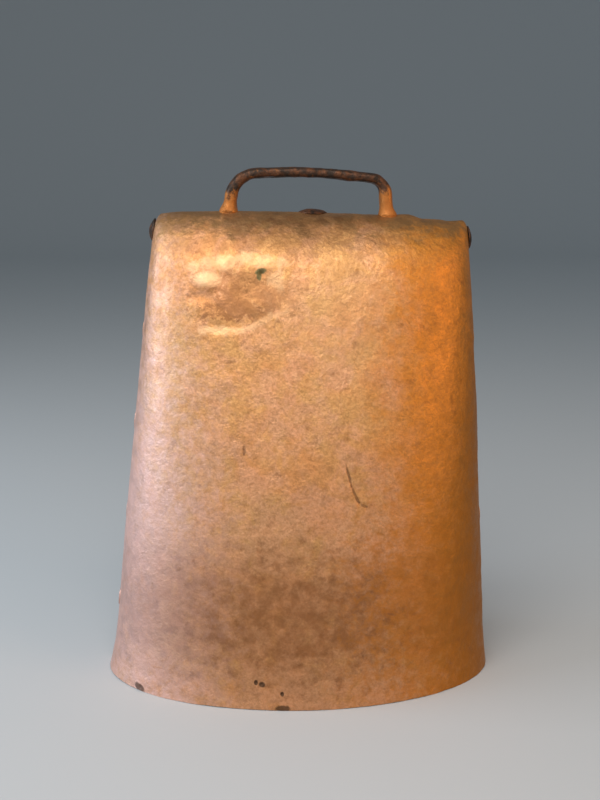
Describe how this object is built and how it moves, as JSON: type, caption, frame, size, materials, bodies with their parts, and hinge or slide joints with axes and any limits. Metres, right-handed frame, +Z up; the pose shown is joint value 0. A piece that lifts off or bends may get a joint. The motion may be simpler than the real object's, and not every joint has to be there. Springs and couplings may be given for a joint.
{
  "type": "cowbell",
  "caption": "Forged sheet-iron cowbell with a brazed copper-brown skin, an oval mouth, a strap handle on its crown and an iron clapper hung on a link.",
  "frame": {"origin": "the middle of the mouth, in the plane that the rim stands on", "axes": "+Z up towards the crown and handle, +X the bell's right seen from the front, -Y the front face"},
  "size_m": [0.1911, 0.1129, 0.246],
  "materials": {
    "coppered_sheet": "brazed and patinated, hammered",
    "forged_handle": "forged, dark, with copper-brown braze on the legs",
    "dark_rivets": "dark hammered iron",
    "inner_iron": "dull brown iron",
    "clapper_iron": "forged, rubbed brighter where it strikes"
  },
  "bodies": {
    "bell": {"front_sheet": "coppered_sheet", "back_sheet": "coppered_sheet", "left_corner_rivet": "dark_rivets", "right_corner_rivet": "dark_rivets", "left_seam_rivets": "dark_rivets", "right_seam_rivets": "dark_rivets", "handle": "forged_handle", "left_handle_rove": "inner_iron", "right_handle_rove": "inner_iron", "clapper_staple": "dark_rivets", "staple_rove": "inner_iron"},
    "link": {"clapper_link": "clapper_iron"},
    "clapper": {"clapper_rod": "clapper_iron", "clapper_ball": "clapper_iron"}
  },
  "joints": [
    {"name": "link_swing", "type": "hinge", "parent": "bell", "child": "link", "pos_m": [0.00543, 0, 0.19943], "axis": [1, 0, 0], "range_deg": [-9.5, 9.5]},
    {"name": "clapper_swing", "type": "hinge", "parent": "link", "child": "clapper", "pos_m": [0.00543, 0, 0.17998], "axis": [0, 1, 0], "range_deg": [-16, 16]}
  ]
}
